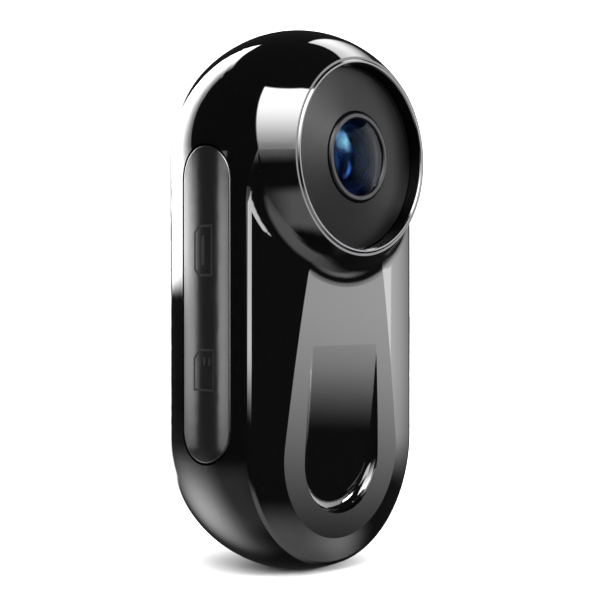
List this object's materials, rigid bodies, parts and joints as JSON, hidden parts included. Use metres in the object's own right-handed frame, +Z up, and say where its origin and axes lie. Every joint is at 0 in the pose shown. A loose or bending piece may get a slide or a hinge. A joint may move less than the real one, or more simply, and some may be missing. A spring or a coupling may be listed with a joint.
{
  "type": "wearable action camera",
  "caption": "Pill-shaped wearable camera with a domed wide-angle lens, a hinged side cover over its port and card slot, side keys, a thumb scoop and a screw socket in the base.",
  "frame": {"origin": "centre of the mouth of the tripod socket in the rounded base", "axes": "+Z up along the body, -Y the way the lens looks, -X towards the port cover"},
  "size_m": [0.0363, 0.026, 0.0741],
  "materials": {
    "gloss_shell": "high gloss",
    "satin_cover": "satin",
    "satin_case": "satin",
    "grip_rubber": "fine texture",
    "seal_rubber": "matte",
    "screw_steel": "dark nickel",
    "ring_chrome": "polished",
    "dish_black": "satin",
    "barrel_black": "black anodised",
    "lens_glass": "coated",
    "inner_glass": "coated",
    "sensor_glass": "polished",
    "inner_plastic": "moulded",
    "board_green": "solder mask",
    "chip_black": "moulded",
    "shield_steel": "tinned",
    "ribbon_amber": "film",
    "battery_wrap": "film",
    "light_clear": "translucent",
    "insert_brass": "machined",
    "card_plastic": "satin",
    "key_gloss": "high gloss"
  },
  "bodies": {
    "camera": {"body_shell": "gloss_shell", "back_cover": "satin_case", "back_pad": "grip_rubber", "back_seal": "seal_rubber", "case_screws": "screw_steel", "lens_ring": "ring_chrome", "lens_dish": "dish_black", "lens_barrel": "barrel_black", "lens_front": "lens_glass", "lens_spacer": "barrel_black", "lens_middle": "inner_glass", "lens_rear": "inner_glass", "lens_holder": "inner_plastic", "image_sensor": "sensor_glass", "sensor_board": "board_green", "main_board": "board_green", "processor": "chip_black", "heat_spreader": "shield_steel", "board_chips": "chip_black", "ribbon_cable": "ribbon_amber", "battery": "battery_wrap", "battery_foam": "seal_rubber", "speaker": "inner_plastic", "microphone": "shield_steel", "light_pipe": "light_clear", "key_switches": "shield_steel", "cover_pin": "screw_steel", "usb_port": "shield_steel", "usb_tongue": "inner_plastic", "card_socket": "shield_steel", "tripod_insert": "insert_brass"},
    "port_cover": {"port_cover": "satin_cover", "cover_seal": "seal_rubber"},
    "memory_card": {"memory_card": "card_plastic"},
    "shutter_key": {"shutter_key": "key_gloss"},
    "power_key": {"power_key": "key_gloss"}
  },
  "joints": [
    {"name": "port_cover_hinge", "type": "hinge", "parent": "camera", "child": "port_cover", "pos_m": [-0.0167, -0.0009, 0.01785], "axis": [0, -1, 0], "range_deg": [0, 85]},
    {"name": "memory_card_slide", "type": "slide", "parent": "camera", "child": "memory_card", "axis": [-1, 0, 0], "range_m": [0, 0.0022]},
    {"name": "shutter_key_press", "type": "slide", "parent": "camera", "child": "shutter_key", "axis": [-1, 0, 0], "range_m": [0, 0.00035], "stiffness_N_per_m": 1500, "springref_m": -0.0001},
    {"name": "power_key_press", "type": "slide", "parent": "camera", "child": "power_key", "axis": [-1, 0, 0], "range_m": [0, 0.00035], "stiffness_N_per_m": 1500, "springref_m": -0.0001}
  ]
}
